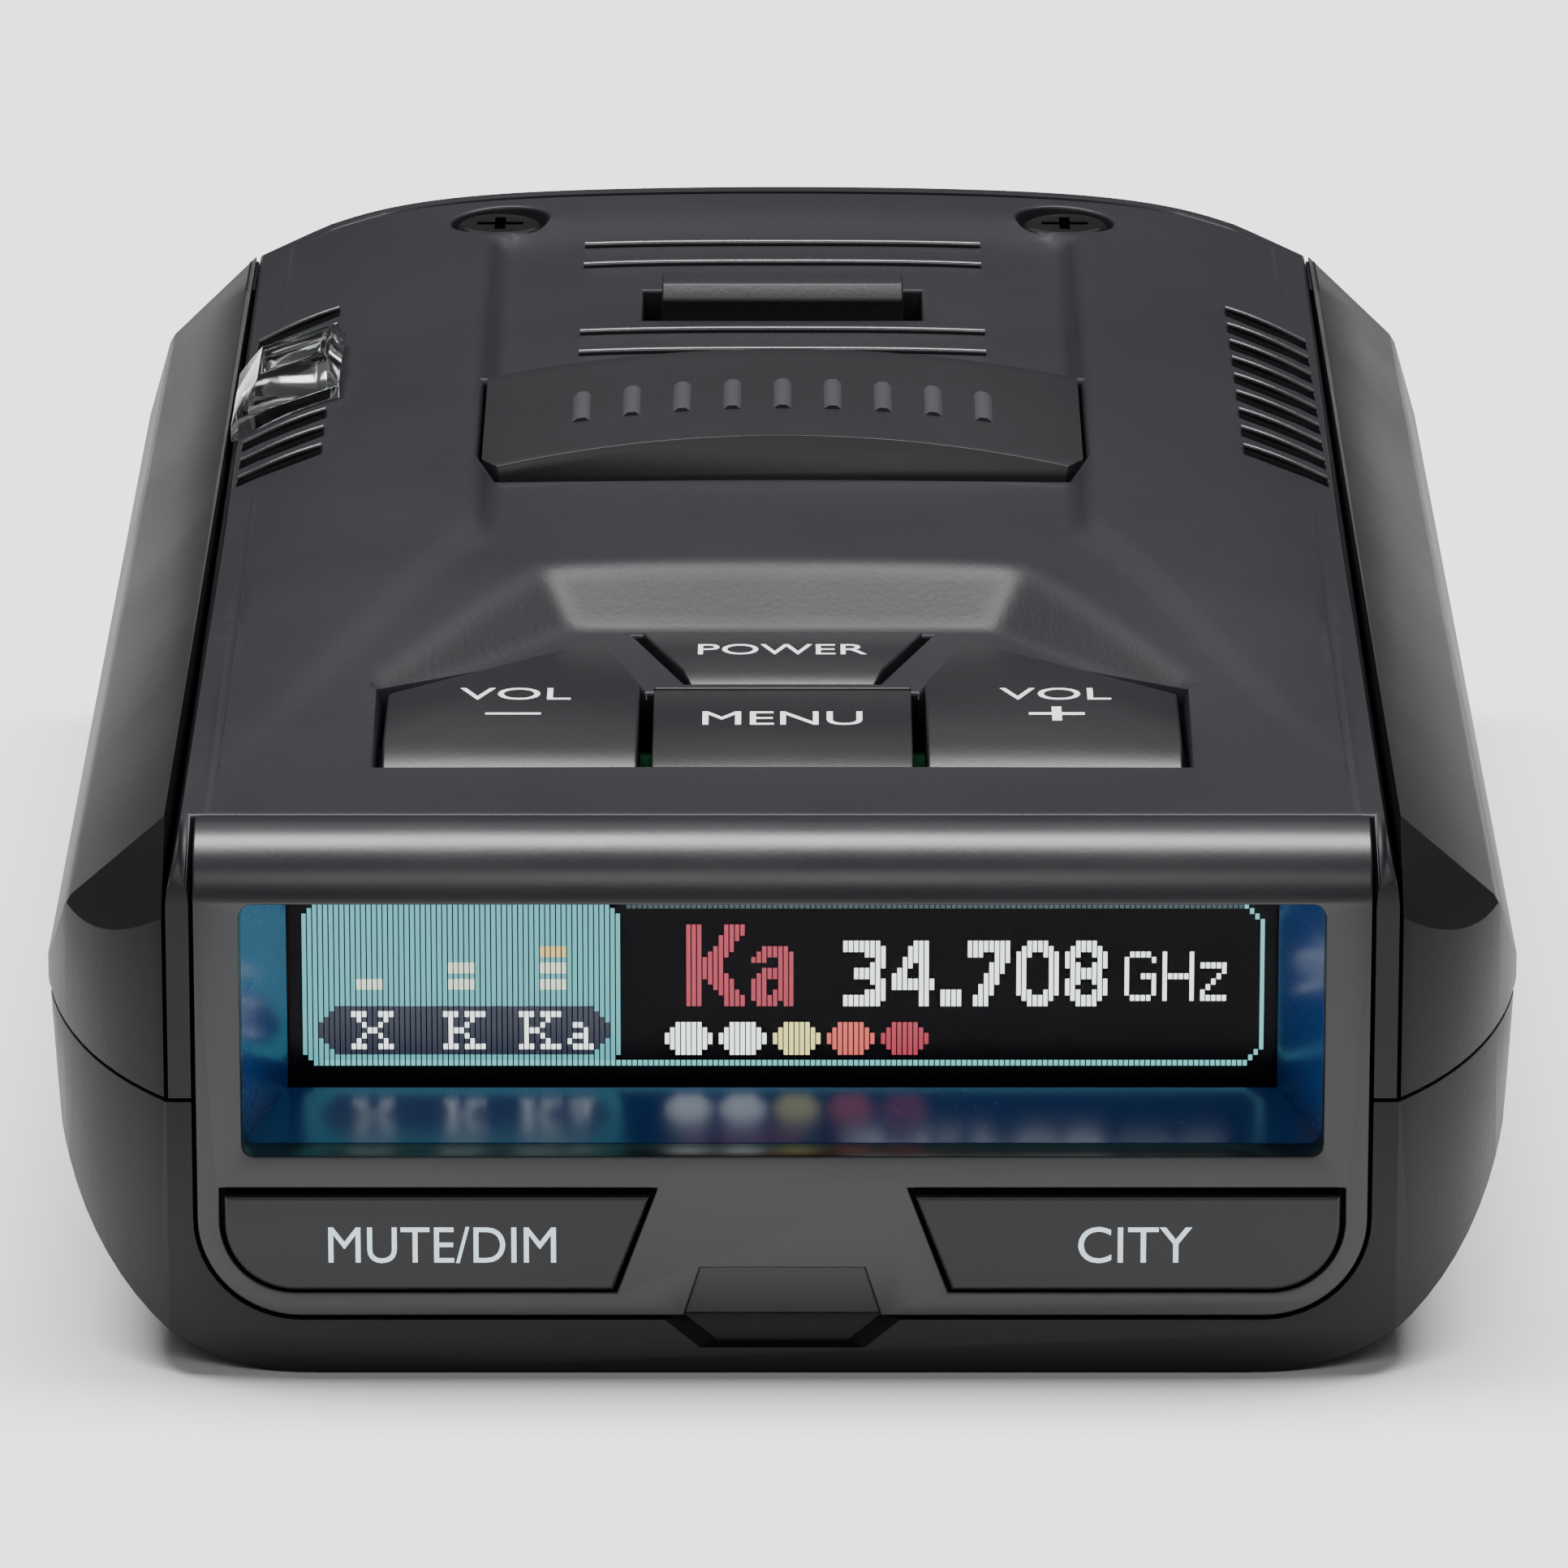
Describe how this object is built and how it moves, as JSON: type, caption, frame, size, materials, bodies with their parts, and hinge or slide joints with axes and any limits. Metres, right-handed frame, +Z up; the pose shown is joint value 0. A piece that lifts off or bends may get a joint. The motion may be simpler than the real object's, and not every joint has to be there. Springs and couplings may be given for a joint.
{
  "type": "radar detector",
  "caption": "Dashboard radar detector: a flat case with a deep display window, face and deck buttons, a mount latch, speaker slots and a radar-clear nose.",
  "frame": {"origin": "centre of the underside, half way along the length", "axes": "+X to the driver's right, +Y from the display end to the antenna end, +Z up"},
  "size_m": [0.072, 0.1154, 0.0323],
  "materials": {
    "case_plastic": "fine matte grain, charcoal",
    "panel_plastic": "fine matte grain, near black",
    "bezel_plastic": "satin, charcoal",
    "button_plastic": "satin, dark charcoal",
    "plate_plastic": "satin, near black",
    "tunnel_plastic": "smooth dark tunnel",
    "clear_lens": "clear window",
    "light_pipe_clear": "clear moulded prism",
    "display_glass": "lit dot display",
    "radar_window": "radar-clear smoked plastic",
    "laser_glass": "dark red lens",
    "board_laminate": "green solder mask",
    "component_black": "moulded component bodies",
    "flex_film": "amber flexible circuit",
    "cast_metal": "cast and tumbled",
    "tin_plate": "tin-plated sheet",
    "ceramic_tan": "fired ceramic with silver face",
    "spring_steel": "spring wire",
    "screw_black": "glossy black zinc",
    "screw_steel": "zinc plated",
    "frame_plastic": "moulded frame",
    "cone_paper": "treated paper",
    "magnet_steel": "nickel-plated",
    "foam_black": "open-cell foam",
    "socket_plastic": "moulded socket",
    "socket_steel": "plated shell",
    "label_film": "blank silver-grey film"
  },
  "bodies": {
    "case": {"top_housing": "case_plastic", "bottom_housing": "case_plastic", "side_panel_right": "panel_plastic", "side_panel_left": "panel_plastic", "display_bezel": "bezel_plastic", "display_hood": "tunnel_plastic", "display_lens": "clear_lens", "display_panel": "display_glass", "display_flex_cable": "flex_film", "top_button_board": "board_laminate", "top_tact_switches": "component_black", "face_button_board": "board_laminate", "face_tact_switches": "component_black", "release_springs": "spring_steel", "latch_retainer": "frame_plastic", "main_board": "board_laminate", "board_chips": "component_black", "rf_shield_can": "tin_plate", "gps_antenna": "ceramic_tan", "horn_antenna": "cast_metal", "antenna_window": "radar_window", "front_laser_lens": "laser_glass", "front_laser_sensor": "board_laminate", "rear_light_pipe": "light_pipe_clear", "rear_laser_sensor": "board_laminate", "speaker_frame": "frame_plastic", "speaker_cone": "cone_paper", "speaker_magnet": "magnet_steel", "speaker_gasket": "foam_black", "power_socket": "socket_plastic", "audio_socket": "socket_plastic", "usb_socket": "socket_steel", "case_screws": "screw_steel", "deck_screws": "screw_black", "underside_label": "label_film"},
    "power_key": {"power_button": "button_plastic"},
    "menu_key": {"menu_button": "button_plastic"},
    "volume_up_key": {"volume_up_button": "button_plastic"},
    "volume_down_key": {"volume_down_button": "button_plastic"},
    "city_key": {"city_button": "button_plastic"},
    "mute_dim_key": {"mute_dim_button": "button_plastic"},
    "mount_release": {"release_plate": "plate_plastic", "mount_latch": "case_plastic"}
  },
  "joints": [
    {"name": "power_press", "type": "slide", "parent": "case", "child": "power_key", "axis": [0, 0, -1], "range_m": [0, 0.0005], "stiffness_N_per_m": 1500, "springref_m": -0.0004},
    {"name": "menu_press", "type": "slide", "parent": "case", "child": "menu_key", "axis": [0, 0, -1], "range_m": [0, 0.0005], "stiffness_N_per_m": 1500, "springref_m": -0.0004},
    {"name": "volume_up_press", "type": "slide", "parent": "case", "child": "volume_up_key", "axis": [0, 0, -1], "range_m": [0, 0.0005], "stiffness_N_per_m": 1500, "springref_m": -0.0004},
    {"name": "volume_down_press", "type": "slide", "parent": "case", "child": "volume_down_key", "axis": [0, 0, -1], "range_m": [0, 0.0005], "stiffness_N_per_m": 1500, "springref_m": -0.0004},
    {"name": "city_press", "type": "slide", "parent": "case", "child": "city_key", "axis": [0, 1, 0], "range_m": [0, 0.0004], "stiffness_N_per_m": 1500, "springref_m": -0.0004},
    {"name": "mute_dim_press", "type": "slide", "parent": "case", "child": "mute_dim_key", "axis": [0, 1, 0], "range_m": [0, 0.0004], "stiffness_N_per_m": 1500, "springref_m": -0.0004},
    {"name": "mount_release_press", "type": "slide", "parent": "case", "child": "mount_release", "axis": [0, 0, -1], "range_m": [0, 0.0015], "stiffness_N_per_m": 1200, "springref_m": -0.002, "deforming": ["release_springs"]}
  ]
}
